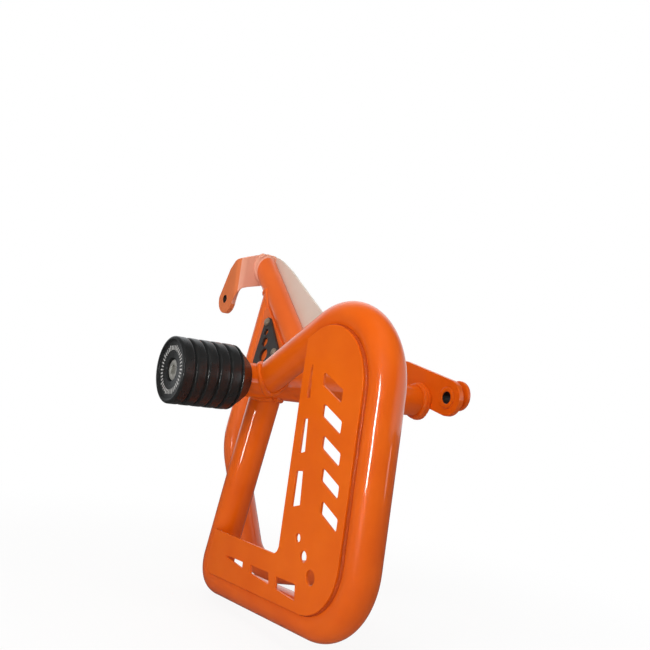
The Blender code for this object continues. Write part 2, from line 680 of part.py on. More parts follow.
def buildRearPlates(paint, black, steel):
    plane = addEmpty("rear_plane", (0, REAR_Y, 0), (-LEAN, 0, 0))
    topX, topH = MAIN_TOP
    length = math.hypot(topX, topH)
    ux, uh = topX / length, topH / length
    # the side tube's centre line in the leaning plane
    knee = (KNEE_X, KNEE_Z / math.cos(LEAN))
    hang = (SIDE_TOP_X, topH * SIDE_TOP_X / topX)
    slope = (hang[0] - knee[0]) / (hang[1] - knee[1])
    leftX = lambda h: knee[0] + (h - knee[1]) * slope + SHEET_INSET
    rightX = lambda h: ux / uh * h - SHEET_INSET / uh
    apexH = SHEET_BASE
    while leftX(apexH) < rightX(apexH) - 6 * MM:
        apexH += 0.5 * MM
    outline = [(leftX(SHEET_BASE), SHEET_BASE), (rightX(SHEET_BASE), SHEET_BASE),
               (rightX(apexH), apexH), (leftX(apexH), apexH)]
    holes = [circlePoints((x * MM, h * MM), COVER_SCREW + 0.4 * MM, 12) for x, h in COVER_BOLTS]
    outline = roundCorners(outline, 1.5 * MM, 3)
    bm = plateMesh(outline, holes, -SHEET_FRONT, -SHEET_FRONT + SHEET_THICK)
    addObject("backing_sheet", bm, paint, plane, 30)

    front = -SHEET_FRONT - GAP
    discs = [(x * MM, h * MM, r * MM) for x, h, r in COVER_CORNERS]
    outline = hullOfDiscs(list(reversed(discs)))
    holes = [circlePoints((x * MM, h * MM), r * MM, 18) for x, h, r in COVER_HOLES]
    holes += [circlePoints((x * MM, h * MM), COVER_SCREW + 0.4 * MM, 12) for x, h in COVER_BOLTS]
    bm = plateMesh(outline, holes, front - COVER_THICK, front)
    addObject("cover_plate", bm, black, plane, 30)

    for label, (x, h) in zip(("upper", "lower"), COVER_BOLTS):
        spot = addEmpty("cover_bolt_seat_" + label, (x * MM, 0, h * MM))
        spot.parent = plane
        seat = front - COVER_THICK - GAP
        tip = -SHEET_FRONT + SHEET_THICK + 1.2 * MM
        profile = [(0.9 * MM, seat - 2.5 * MM), (2.4 * MM, seat - 2.1 * MM), (3.4 * MM, seat - 1.2 * MM),
                   (3.8 * MM, seat), (COVER_SCREW, seat), (COVER_SCREW, tip)]
        turned("cover_bolt_" + label, profile, 18, steel, spot)

    # gusset along the upper side of the main tube, down to the cross tube
    nx, nh = uh, -ux
    off = REAR_RADIUS + GAP

    def side(along, out):
        return (ux * along + nx * out, uh * along + nh * out)

    # its foot follows the round of the cross tube
    foot = []
    seat = CROSS_RADIUS + 2 * GAP
    for k in range(9):
        a = math.radians(38 + 8 * k)
        x, h = seat * math.cos(a), seat * math.sin(a) / math.cos(LEAN) + 0.3 * MM
        if x * uh - h * ux > off + 0.2 * MM:
            foot.append((x, h))
    outline = foot + [side(GUSSET_FOOT, off), side(GUSSET_END, off)]
    outline += [side(GUSSET_END + 2 * MM, off + 1.5 * MM)] + list(GUSSET_EDGE)
    bm = plateMesh(outline, [], -GUSSET_THICK / 2, GUSSET_THICK / 2)
    addObject("gusset_plate", bm, paint, plane, 30)


def buildHook(paint):
    """A flat bar cut to a hook outline, then bent through a right angle."""
    hx, hz, hr = HOOK_HOLE
    hub = (hx + HOOK_END_SHIFT[0], hz + HOOK_END_SHIFT[1])
    outline = arcPoints(hub, HOOK_END, 172, 352, 9) + list(HOOK_INNER) + list(HOOK_OUTER)
    bm = plateMesh(outline, [circlePoints((hx, hz), hr, 16)], 0, HOOK_THICK)
    outer = HOOK_THICK + HOOK_BEND
    arc = (HOOK_BEND + HOOK_THICK / 2) * math.pi / 2
    bendX = HOOK_FACE - outer
    steps = 6
    for k in range(steps + 1):
        cut = Vector((arc * k / steps, 0, 0))
        geom = list(bm.verts) + list(bm.edges) + list(bm.faces)
        bmesh.ops.bisect_plane(bm, geom=geom, dist=1e-7, plane_co=cut, plane_no=(1, 0, 0))
    centre = Vector((bendX, HOOK_FRONT + outer, 0))
    for v in bm.verts:
        u, t, z = v.co
        if u <= 0:
            v.co = (bendX + u, HOOK_FRONT + t, z)
        else:
            a = min(u, arc) / arc * math.pi / 2
            r = outer - t
            past = max(0.0, u - arc)
            v.co = (centre.x + r * math.sin(a), centre.y - r * math.cos(a) + past, z)
    bmesh.ops.triangulate(bm, faces=bm.faces)
    addObject("hook_bracket", bm, paint, sharp=30)


def buildLug(paint, steel):
    ex, ez = LUG_EYE
    tx, tz, tr = LUG_TAIL
    outline = hullPair((ex, ez, LUG_END), (tx, tz, tr), 10)
    hole = circlePoints((ex, ez), BUSH_RADIUS + GAP, 28)
    bm = plateMesh(outline, [hole], LUG_FRONT, LUG_FRONT + LUG_THICK)
    addObject("lug_plate", bm, paint, sharp=30)
    spot = addEmpty("lug_axis", (ex, 0, ez))
    y0 = LUG_FRONT - BUSH_PROUD
    y1 = EAR_BACK - 0.4 * MM
    r = BUSH_RADIUS
    b = BUSH_BORE
    c = 0.6 * MM
    profile = ((b + c, y0), (r - c, y0), (r, y0 + c), (r, y1), (b, y1), (b, y0 + c))
    lathe("lug_bush", profile, 28, paint, spot)
    y1 = EAR_BACK
    y0 = y1 - EAR_THICK
    r = EAR_RADIUS
    b = BUSH_RADIUS + GAP
    c = 0.8 * MM
    profile = ((b, y0), (r - c, y0), (r, y0 + c), (r, y1 - c), (r - c, y1), (b, y1))
    lathe("lug_rear_ring", profile, 28, paint, spot)


def hullPair(a, b, count):
    """Outline round two discs (x, z, radius)."""
    gap = Vector((b[0] - a[0], b[1] - a[1]))
    base = math.atan2(gap.y, gap.x)
    open_ = math.acos((a[2] - b[2]) / gap.length)
    out = []
    for disc, start, stop in ((a, base + open_, base + 2 * math.pi - open_), (b, base - open_, base + open_)):
        for k in range(count + 1):
            t = start + (stop - start) * k / count
            out.append((disc[0] + disc[2] * math.cos(t), disc[1] + disc[2] * math.sin(t)))
    return out


def main():
    clearScene()
    paint = makeMaterial("orange_powder_coat", (0.79, 0.13, 0.012), 0.28, 0.0)
    nylon = makeMaterial("black_nylon", (0.02, 0.02, 0.022), 0.38, 0.0)
    black = makeMaterial("black_paint", (0.035, 0.032, 0.03), 0.45, 0.0)
    steel = makeMaterial("zinc_steel", (0.42, 0.38, 0.32), 0.35, 1.0)
    buildCrossTube(paint, steel)
    buildLoop(paint)
    buildLoopPlate(paint)
    buildSlider(nylon, steel)
    buildRearFrame(paint)
    buildRearPlates(paint, black, steel)
    buildHook(paint)
    buildLug(paint, steel)


main()
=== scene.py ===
import json
import math

import bmesh
import bpy
from mathutils import Matrix, Vector
from mathutils.geometry import tessellate_polygon

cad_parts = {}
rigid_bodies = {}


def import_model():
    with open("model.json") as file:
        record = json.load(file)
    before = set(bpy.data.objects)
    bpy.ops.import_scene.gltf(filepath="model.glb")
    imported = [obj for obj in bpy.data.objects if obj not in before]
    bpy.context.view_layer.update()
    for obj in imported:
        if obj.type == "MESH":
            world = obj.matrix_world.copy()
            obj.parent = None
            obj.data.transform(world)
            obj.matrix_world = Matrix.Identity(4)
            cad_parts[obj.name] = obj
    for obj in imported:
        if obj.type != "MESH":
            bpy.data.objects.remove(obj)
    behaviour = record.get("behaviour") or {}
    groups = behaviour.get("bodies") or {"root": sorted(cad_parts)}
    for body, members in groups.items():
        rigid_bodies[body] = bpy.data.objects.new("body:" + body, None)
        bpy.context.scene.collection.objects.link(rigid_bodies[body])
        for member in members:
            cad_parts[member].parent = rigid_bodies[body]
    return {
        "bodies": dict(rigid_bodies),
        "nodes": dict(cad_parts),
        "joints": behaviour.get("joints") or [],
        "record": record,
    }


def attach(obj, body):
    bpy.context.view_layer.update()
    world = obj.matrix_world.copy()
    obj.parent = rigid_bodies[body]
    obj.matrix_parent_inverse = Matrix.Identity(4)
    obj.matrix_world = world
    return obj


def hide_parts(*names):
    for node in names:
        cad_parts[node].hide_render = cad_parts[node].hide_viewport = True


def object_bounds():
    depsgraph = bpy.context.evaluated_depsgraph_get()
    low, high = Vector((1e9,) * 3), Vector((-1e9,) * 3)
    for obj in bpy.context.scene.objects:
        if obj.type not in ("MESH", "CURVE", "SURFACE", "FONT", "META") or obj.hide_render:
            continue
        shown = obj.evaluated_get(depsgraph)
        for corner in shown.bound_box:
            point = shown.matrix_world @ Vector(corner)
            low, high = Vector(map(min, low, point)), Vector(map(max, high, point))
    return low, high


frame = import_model()
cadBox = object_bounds()
mm = 0.001
middle = Vector((0, 0, 0))
yAxis = Vector((0, 1, 0))


def vec(x, y, z):
    return Vector((x, y, z)) * mm


# materials

def newMaterial(name):
    mat = bpy.data.materials.new(name)
    mat.use_nodes = True
    tree = mat.node_tree
    return mat, tree, tree.nodes["Principled BSDF"]


def setInputs(tree, node, inputs):
    # a socket is linked, anything else is set on the node itself
    for key, value in inputs.items():
        if isinstance(value, bpy.types.NodeSocket):
            tree.links.new(value, node.inputs[key])
        else:
            node.inputs[key].default_value = value


def addNode(tree, kind, inputs=None, **settings):
    node = tree.nodes.new(kind)
    for key, value in settings.items():
        setattr(node, key, value)
    setInputs(tree, node, inputs or {})
    return node


def noiseNode(tree, scale, detail):
    coords = addNode(tree, "ShaderNodeTexCoord")
    noise = addNode(tree, "ShaderNodeTexNoise", {
        "Vector": coords.outputs["Object"], "Scale": scale, "Detail": detail})
    return noise.outputs["Fac"]


def toLinear(rgb):
    return tuple((c / 255 / 12.92) if c < 11 else ((c / 255 + 0.055) / 1.055) ** 2.4 for c in rgb)


def colourDrift(tree, source, dark, light):
    ramp = addNode(tree, "ShaderNodeValToRGB", {"Fac": source})
    for stop, at, rgb in zip(ramp.color_ramp.elements, (0.3, 0.7), (dark, light)):
        stop.position = at
        stop.color = (*toLinear(rgb), 1.0)
    return ramp.outputs["Color"]


def rangeNode(tree, source, low, high):
    node = addNode(tree, "ShaderNodeMapRange", {"Value": source, "To Min": low, "To Max": high})
    return node.outputs["Result"]


def bumpNode(tree, source, strength, distance):
    bump = addNode(tree, "ShaderNodeBump", {"Height": source, "Strength": strength, "Distance": distance})
    return bump.outputs["Normal"]


def powderCoat(name, dark, light, rough=(0.3, 0.42), coat=0.7):
    # glossy powder coat: slow colour drift, fine orange peel
    mat, tree, shader = newMaterial(name)
    setInputs(tree, shader, {
        "Base Color": colourDrift(tree, noiseNode(tree, 28.0, 3.0), dark, light),
        "Roughness": rangeNode(tree, noiseNode(tree, 90.0, 4.0), *rough),
        "Specular IOR Level": 0.12, "Coat Weight": coat, "Coat Roughness": 0.06,
        "Normal": bumpNode(tree, noiseNode(tree, 700.0, 2.0), 0.06, 0.0004),
    })
    return mat


def turnedNylon():
    # faint tool lines round the axis of the turning
    mat, tree, shader = newMaterial("slider_nylon")
    coords = addNode(tree, "ShaderNodeTexCoord")
    wave = addNode(tree, "ShaderNodeTexWave", {
        "Vector": coords.outputs["Object"], "Scale": 700.0, "Distortion": 0.6}, bands_direction="Y")
    setInputs(tree, shader, {
        "Base Color": colourDrift(tree, noiseNode(tree, 60.0, 3.0), (30, 31, 31), (38, 39, 39)),
        "Roughness": rangeNode(tree, noiseNode(tree, 240.0, 3.0), 0.24, 0.34),
        "Specular IOR Level": 0.4,
        "Normal": bumpNode(tree, wave.outputs["Fac"], 0.12, 0.0001),
    })
    return mat


def platedSteel(name, dark, light, rough):
    mat, tree, shader = newMaterial(name)
    drift = noiseNode(tree, 300.0, 4.0)
    setInputs(tree, shader, {
        "Base Color": colourDrift(tree, drift, dark, light), "Metallic": 0.55,
        "Roughness": rangeNode(tree, drift, rough - 0.06, rough + 0.08),
        "Normal": bumpNode(tree, noiseNode(tree, 1500.0, 2.0), 0.15, 0.0001),
    })
    return mat


def flatPaint(name, dark, light, rough):
    mat, tree, shader = newMaterial(name)
    drift = noiseNode(tree, 140.0, 3.0)
    setInputs(tree, shader, {
        "Base Color": colourDrift(tree, drift, dark, light),
        "Roughness": rangeNode(tree, drift, rough, rough + 0.12),
        "Normal": bumpNode(tree, noiseNode(tree, 900.0, 2.0), 0.10, 0.0002),
    })
    return mat


orangeCoat = powderCoat("orange_coat", (223, 92, 10), (231, 101, 14))
plateCoat = powderCoat("panel_coat", (223, 95, 10), (231, 104, 14), (0.36, 0.46), 0.2)
rearCoat = powderCoat("rear_coat", (224, 98, 36), (232, 108, 44))
hookCoat = powderCoat("hook_coat", (218, 118, 70), (224, 126, 78), (0.5, 0.6), 0.0)
# painted reflection: the band's pale pink stands in for white light mirrored off the orange coat at a grazing
# angle
bandSheenCoat = powderCoat("hook_band_painted_sheen", (226, 158, 132), (232, 166, 142), (0.5, 0.6), 0.0)
# painted reflection: the gusset's pale beige stands in for white light mirrored off an orange coat at a
# grazing angle
gussetSheenCoat = powderCoat("gusset_painted_sheen", (214, 198, 184), (220, 206, 194), (0.4, 0.5), 0.1)
# painted shade: the darker bead colour stands in for the shadow in the gap behind the panel's edge
seamShadeCoat = powderCoat("seam_painted_shade", (172, 64, 14), (190, 74, 18), (0.4, 0.5), 0.1)
nylon = turnedNylon()
boltSteel = platedSteel("bolt_steel", (172, 172, 165), (200, 199, 193), 0.4)
domeSteel = platedSteel("dome_steel", (146, 131, 113), (172, 158, 140), 0.45)
blackCoat = flatPaint("black_coat", (48, 44, 42), (58, 54, 52), 0.4)
# painted shade: near-black colour for the shadowed insides of bolt holes
boreShade = flatPaint("bore_painted_shade", (34, 26, 22), (42, 33, 28), 0.5)
markPaint = flatPaint("mark_paint", (186, 186, 184), (204, 204, 202), 0.5)
print("materials ready")


# mesh helpers

def finishPiece(name, bm, mat, nodes=(), sharp=38.0, weighted=False):
    bmesh.ops.remove_doubles(bm, verts=bm.verts, dist=1e-7)
    bmesh.ops.recalc_face_normals(bm, faces=bm.faces)
    mesh = bpy.data.meshes.new(name)
    bm.to_mesh(mesh)
    bm.free()
    mesh.materials.append(mat)
    mesh.shade_smooth()
    mesh.set_sharp_from_angle(angle=math.radians(sharp))
    ob = bpy.data.objects.new(name, mesh)
    bpy.context.scene.collection.objects.link(ob)
    if weighted:
        mod = ob.modifiers.new("even_shading", "WEIGHTED_NORMAL")
        mod.keep_sharp = True
    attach(ob, "root")
    if nodes:
        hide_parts(*nodes)
    return ob


def everything(bm):
    return list(bm.verts) + list(bm.edges) + list(bm.faces)


def wallRings(bm, rings):
    for a, b in zip(rings, rings[1:]):
        for k in range(len(a)):
            n = (k + 1) % len(a)
            bm.faces.new((a[k], a[n], b[n], b[k]))


def capRings(bm, rings):
    bm.faces.new(list(reversed(rings[0])))
    bm.faces.new(rings[-1])


def ringVerts(bm, centre, side, up, radius, sides, turn=0.0):
    angles = [2 * math.pi * (k + turn) / sides for k in range(sides)]
    return [bm.verts.new(centre + (side * math.cos(a) + up * math.sin(a)) * radius) for a in angles]


def filletPath(corners, radii, step=math.radians(2.5)):
    pts = [corners[0].copy()]
    for i in range(1, len(corners) - 1):
        here = corners[i]
        back = (corners[i - 1] - here).normalized()
        on = (corners[i + 1] - here).normalized()
        inside = back.angle(on)
        turn = math.pi - inside
        radius = radii[i - 1]
        start = here + back * radius / math.tan(inside / 2)
        centre = here + (back + on).normalized() * radius / math.sin(inside / 2)
        spoke = (start - centre) / radius
        count = max(2, math.ceil(turn / step))
        for k in range(count + 1):
            a = turn * k / count
            pts.append(centre + (spoke * math.cos(a) - back * math.sin(a)) * radius)
    pts.append(corners[-1].copy())
    return pts


def pathFrames(pts, closed=False):
    size = len(pts)
    tangents = []
    for i in range(size):
        if closed:
            t = pts[(i + 1) % size] - pts[i - 1]
        else:
            t = pts[min(i + 1, size - 1)] - pts[max(i - 1, 0)]
        tangents.append(t.normalized())
    seed = Vector((0, 1, 0)) if abs(tangents[0].y) < 0.9 else Vector((1, 0, 0))
    side = (seed - tangents[0] * seed.dot(tangents[0])).normalized()
    frames = []
    for t in tangents:
        side = (side - t * side.dot(t)).normalized()
        frames.append((side, t.cross(side)))
    return frames


def tubeMesh(pts, radius, sides=64, bore=0.0, swell=None):
    # a tube with a short view into each end when it has a bore
    bm = bmesh.new()
    frames = pathFrames(pts)
    rings = [ringVerts(bm, p, *f, radius, sides, 0.5) for p, f in zip(pts, frames)]
    if swell:
        # a tight bend's outer side stands out towards its corner
        corner, amount = swell
        gaps = [(p - corner).length for p in pts]
        near = min(gaps)
        outward = (corner - pts[gaps.index(near)]).normalized()
        for p, gap, ring in zip(pts, gaps, rings):
            share = max(0.0, (2 * near - gap) / near)
            for v in ring:
                v.co += outward * amount * share * max(0.0, (v.co - p).normalized().dot(outward))
    if bore:
        first = (pts[1] - pts[0]).normalized()
        last = (pts[-2] - pts[-1]).normalized()
        for depth in (0, bore):
            rings.insert(0, ringVerts(bm, pts[0] + first * depth, *frames[0], bore, sides, 0.5))
            rings.append(ringVerts(bm, pts[-1] + last * depth, *frames[-1], bore, sides, 0.5))
    wallRings(bm, rings)
    capRings(bm, rings)
    return bm


def arcPoints(centre, radius, start, stop, count):
    return [(centre[0] + radius * math.cos(math.radians(start + (stop - start) * k / count)),
             centre[1] + radius * math.sin(math.radians(start + (stop - start) * k / count)))
            for k in range(count + 1)]


def circlePoints(centre, radius, count=40):
    return arcPoints(centre, radius, 0, 360 - 360 / count, count - 1)


def latheMesh(profile, sides=96, centre=(0.0, 0.0), closed=True):
    # profile of (radius, y) in mm, turned round a line along Y
    bm = bmesh.new()
    rings = []
    for r, y in profile:
        rings.append([bm.verts.new((x, y * mm, z)) for x, z in circlePoints(centre, r * mm, sides)])
    if closed:
        wallRings(bm, rings + [rings[0]])
    else:
        wallRings(bm, rings)
        capRings(bm, rings)
    return bm


def roundCorners(points, radii, count=6, limit=0.49):
    out = []
    size = len(points)
    for i, p in enumerate(points):
        here = Vector(p)
        radius = radii[i] if isinstance(radii, (list, tuple)) else radii
        if radius <= 0:
            out.append(tuple(here))
            continue
        back = Vector(points[i - 1]) - here
        on = Vector(points[(i + 1) % size]) - here
        inside = back.angle(on)
        run = min(radius / math.tan(inside / 2), back.length * limit, on.length * limit)
        radius = run * math.tan(inside / 2)
        back.normalize()
        on.normalize()
        centre = here + (back + on).normalized() * radius / math.sin(inside / 2)
        first = here + back * run - centre
        last = here + on * run - centre
        sweep = -first.angle_signed(last)
        for k in range(count + 1):
            a = sweep * k / count
            c, s = math.cos(a), math.sin(a)
            out.append((centre.x + first.x * c - first.y * s, centre.y + first.x * s + first.y * c))
    return out


def inMetres(points):
    return [(x * mm, z * mm) for x, z in points]


def hullOfDiscs(discs, count=14):
    # a belt round several discs, listed anticlockwise
    out = []
    size = len(discs)

    def outward(a, b):
        gap = Vector((b[0] - a[0], b[1] - a[1]))
        return math.atan2(gap.y, gap.x) - math.pi / 2 + math.asin((a[2] - b[2]) / gap.length)

    for i in range(size):
        x, z, r = discs[i]
        first = outward(discs[i - 1], discs[i])
        last = outward(discs[i], discs[(i + 1) % size])
        while last < first:
            last += 2 * math.pi
        for k in range(count + 1):
            a = first + (last - first) * k / count
            out.append((x + r * math.cos(a), z + r * math.sin(a)))
    return out


def signedArea(loop):
    return sum(a[0] * b[1] - b[0] * a[1] for a, b in zip(loop, loop[1:] + loop[:1])) / 2


def insetLoop(loop, amount):
    # move a closed outline towards its left-hand side
    out = []
    size = len(loop)
    for i in range(size):
        p = Vector(loop[i])
        a = p - Vector(loop[i - 1])
        b = Vector(loop[(i + 1) % size]) - p
        if a.length < 1e-9 or b.length < 1e-9:
            a = b = a if a.length > b.length else b
        a.normalize()
        b.normalize()
        na, nb = Vector((-a.y, a.x)), Vector((-b.y, b.x))
        n = (na + nb).normalized()
        out.append(tuple(p + n * amount / max(0.5, n.dot(na))))
    return out


def plateMesh(outline, holes, y0, y1, edge, steps=3):
    # a sheet with rounded edges all round it and round each hole
    loops = []
    for i, loop in enumerate([outline] + list(holes)):
        turned = (signedArea(loop) > 0) == (i == 0)
        loops.append(loop if turned else list(reversed(loop)))
    bm = bmesh.new()
    quarter = []
    for k in range(steps + 1):
        a = math.pi / 2 * k / steps
        quarter.append((edge * (1 - math.sin(a)), edge * (1 - math.cos(a))))
    levels = [(inset, y0 + rise) for inset, rise in quarter]
    levels += [(inset, y1 - rise) for inset, rise in reversed(quarter)]
    walls = []
    for loop in loops:
        rows = []
        for inset, y in levels:
            flat = insetLoop(loop, inset) if inset > 0 else loop
            rows.append([bm.verts.new((x, y, z)) for x, z in flat])
        wallRings(bm, rows)
        walls.append(rows)
    for end, turn in ((0, 1), (-1, -1)):
        rows = [rows[end] for rows in walls]
        verts = [v for row in rows for v in row]
        flat = [[Vector((v.co.x, v.co.z, 0)) for v in row] for row in rows]
        for tri in tessellate_polygon(flat):
            bm.faces.new([verts[i] for i in tri][::turn])
    return bm


# weld beads

def tubeJoint(foot, direction, radius, axisPoint, axis, mainRadius, count=180):
    # where a round tube meets another, seen from the first tube
    side = axis.cross(direction).normalized()
    up = direction.cross(side).normalized()
    out = []
    for k in range(count):
        a = 2 * math.pi * k / count
        start = foot + (side * math.cos(a) + up * math.sin(a)) * radius - direction * 0.2
        rel = start - axisPoint
        d = direction - axis * direction.dot(axis)
        m = rel - axis * rel.dot(axis)
        qa, qb, qc = d.dot(d), 2 * d.dot(m), m.dot(m) - mainRadius ** 2
        root = qb * qb - 4 * qa * qc
        if root < 0:
            continue
        out.append(start + direction * (-qb - math.sqrt(root)) / (2 * qa))
    return out


def resample(pts, step, closed):
    line = pts + [pts[0]] if closed else pts
    lengths = [0.0]
    for a, b in zip(line, line[1:]):
        lengths.append(lengths[-1] + (b - a).length)
    count = max(8, round(lengths[-1] / step))
    out = []
    i = 0
    for k in range(count if closed else count + 1):
        s = lengths[-1] * k / count
        while i < len(lengths) - 2 and lengths[i + 1] < s:
            i += 1
        span = lengths[i + 1] - lengths[i]
        out.append(line[i].lerp(line[i + 1], (s - lengths[i]) / span if span else 0))
    return out


def beadMesh(bm, pts, size, pitch, closed=True, swell=0.14):
    # overlapping scales along the seam
    step = 0.45 * mm
    line = resample(pts, step, closed)
    frames = pathFrames(line, closed)
    rings = []
    for i, (p, frame) in enumerate(zip(line, frames)):
        phase = (i * step / pitch) % 1.0
        r = size * (1 - swell + swell * 1.6 * math.sqrt(max(0.0, 1 - (2 * phase - 0.7) ** 2 / 2.2)))
        r *= 1 + 0.06 * math.sin(i * 0.117 + 1.3) + 0.04 * math.sin(i * 0.31)
        if not closed:
            ends = min(i, len(line) - 1 - i) * step / size
            r *= min(1.0, 0.25 + ends)
        rings.append(ringVerts(bm, p, *frame, r, 14))
    if closed:
        # the last ring may be turned against the first, so match the nearest corner
        first = rings[0]
        shift = min(range(len(first)), key=lambda s: (rings[-1][0].co - first[s].co).length)
        wallRings(bm, rings + [first[shift:] + first[:shift]])
    else:
        wallRings(bm, rings)
        capRings(bm, rings)


# cross tube and loop

crossSet = {"radius": 13.45 * mm, "bore": 11.1 * mm, "out": -20.2 * mm, "into": 161.4 * mm}
loopSet = {
    "radius": 12.58 * mm, "bends": (48.2 * mm, 46.2 * mm, 13.6 * mm), "swell": 4.1 * mm,
    "corners": [vec(0, 0, 0), vec(156.8, 0, 86.6), vec(156.8, 0, -151.4), vec(-36.6, 0, -162.7),
                vec(6.5, 0, 0)],
    "setBack": vec(-11.6, 7.7, 0.8), "setBackRun": 85 * mm,
}


def makeCrossTube():
    s = crossSet
    bm = tubeMesh([yAxis * s["out"], yAxis * s["into"]], s["radius"], 72, s["bore"])
    finishPiece("cross_tube_skin", bm, orangeCoat, ("cross_tube",))


def leanShare(z):
    t = max(0.0, min(1.0, 1 + z / loopSet["setBackRun"]))
    return t * t * (3 - 2 * t)


def makeLoop():
    s = loopSet
    pts = filletPath(s["corners"], s["bends"])
    # the second end leans back under the cross tube and stops just inside it
    foot, tip = pts[-2], pts[-1] - (pts[-1] - pts[-2]).normalized() * 4 * mm
    pts = pts[:-1]
    for k in range(1, 41):
        p = foot.lerp(tip, k / 40)
        pts.append(p + s["setBack"] * leanShare(p.z))
    bm = tubeMesh(pts, s["radius"], 72, 0, (s["corners"][3], s["swell"]))
    finishPiece("loop_tube_skin", bm, orangeCoat, ("loop_tube",))


# panel inside the loop, in mm

plateSet = {
    "front": -13.8, "thick": 2.0, "edge": 0.35, "inset": (5.2, 7.8, 5.2, 5.2),
    "bandLeft": 75.8, "bandTop": -118.4, "bandRise": 0.035, "bends": (0, 42.2, 40.5, 8.5, 0, 7.5),
    "slotRound": 0.7, "sideTip": (87.0, 21.3), "sideFlare": 0.08,
    "sideRow": ((21.3, -5.5, 84.8), (-20.0, -43.8, 85.2), (-56.5, -80.8, 84.9)),
    "lowTip": (-6.6, -137.3), "lowFloor": -139.2, "lowRise": 0.055, "lowFall": 0.025,
    "lowRow": ((-6.6, 29.6, 0.0), (41.0, 68.2, 0.25), (77.6, 103.6, -0.2)),
    "vents": 5, "ventFirst": (115.0, 4.5), "ventStep": (4.0, -21.0), "ventHalf": 12.6, "ventLess": 0.6,
    "ventRise": 4.6, "ventSlope": 0.42, "ventRound": 1.8,
    "rounds": ((98.5, -101.0, 3.0), (108.0, -111.5, 4.0), (119.5, -122.5, 5.2)),
}


def crossing(p, d, q, e):
    det = d.x * e.z - d.z * e.x
    return p + d * (((q.x - p.x) * e.z - (q.z - p.z) * e.x) / det)


def insideEdges(insets):
    # the loop's straight runs, each moved inwards by its inset
    corners = loopSet["corners"]
    edges = []
    for a, b, inset in zip(corners, corners[1:], insets):
        d = (b - a).normalized()
        edges.append((a + Vector((d.z, 0, -d.x)) * inset * mm, d))
    return edges


def plateOutline():
    s = plateSet
    edges = insideEdges(s["inset"])
    upright = (vec(s["bandLeft"], 0, 0), Vector((0, 0, 1)))
    shelf = (vec(s["bandLeft"], 0, s["bandTop"]), Vector((1, 0, s["bandRise"])).normalized())
    pairs = ((edges[0], upright), (edges[0], edges[1]), (edges[1], edges[2]), (edges[2], edges[3]),
             (edges[3], shelf), (upright, shelf))
    shape = [crossing(*a, *b) for a, b in pairs]
    return roundCorners([(p.x, p.z) for p in shape], [r * mm for r in s["bends"]], 24, 0.9)


def slotHoles():
    # three slots down the upright band and three along the lower one, the first of each a wedge
    s = plateSet
    slots = []
    tipX, tipZ = s["sideTip"]
    for top, foot, left in s["sideRow"]:
        a, b = [tipX + (tipZ - z) * s["sideFlare"] - left for z in (top, foot)]
        if top == tipZ:
            slots.append(((tipX, tipZ), (left + b, foot + 0.1 * b), (left, foot - 0.1 * b), (left, top - 8)))
        else:
            slots.append(((left, top - 0.1 * a), (left + a, top + 0.05 * a),
                          (left + b, foot + 0.15 * b), (left, foot - 0.15 * b)))
    tipX, tipZ = s["lowTip"]
    for left, right, lift in s["lowRow"]:
        a, b = [tipZ + lift + (x - tipX) * s["lowRise"] for x in (left, right)]
        c, d = [s["lowFloor"] + lift - (x - tipX) * s["lowFall"] for x in (left, right)]
        if left == tipX:
            slots.append(((tipX, tipZ), (right, b), (right, d)))
        else:
            slots.append(((left, a), (right - 1, b), (right + 1, d), (left + 1, c)))
    return [roundCorners(inMetres(pts), s["slotRound"] * mm, 5) for pts in slots]


def ventHoles():
    # slanted vents, each a little narrower than the one above
    s = plateSet
    vents = []
    for k in range(s["vents"]):
        x, z = [first + step * k for first, step in zip(s["ventFirst"], s["ventStep"])]
        half = s["ventHalf"] - s["ventLess"] * k
        slope = s["ventSlope"] * half
        tall = s["ventRise"]
        vents.append(roundCorners(inMetres((
            (x - half, z - tall + slope), (x - half, z + tall + slope),
            (x + half, z + tall - slope), (x + half, z - tall - slope))), s["ventRound"] * mm, 6))
    return vents


def makeLoopPlate():
    s = plateSet
    rounds = [circlePoints((x * mm, z * mm), r * mm) for x, z, r in s["rounds"]]
    bm = plateMesh(plateOutline(), slotHoles() + ventHoles() + rounds, s["front"] * mm,
                   (s["front"] + s["thick"]) * mm, s["edge"] * mm)
    finishPiece("loop_plate_skin", bm, plateCoat, ("loop_plate",), 60, True)


makeCrossTube()
makeLoop()
makeLoopPlate()
print("loop ready")


# slider, in mm

sliderSet = {
    "face": -82.35, "back": -20.5, "radius": 25.35, "rim": 1.7, "grooves": (-72.6, 9.7, 5),
    "cone": -32.6, "nose": 15.8, "pocket": (8.8, 14.6), "bore": 5.5,
    "lip": 22.3, "marks": 40, "markRing": (14.9, 18.2), "markWide": 0.95,
    # step from the sunken face up to the lip, as (distance outwards, depth)
    "lipStep": ((-0.9, 1.5), (-0.5, 1.42), (-0.22, 1.15), (0.0, 0.7), (0.1, 0.35), (0.3, 0.1), (0.6, 0.0)),
    # half a groove from its middle outwards, as (distance, depth)
    "groove": ((0.25, 1.7), (0.55, 1.35), (0.8, 0.8), (1.15, 0.3), (1.7, 0.07), (2.6, 0.0)),
}


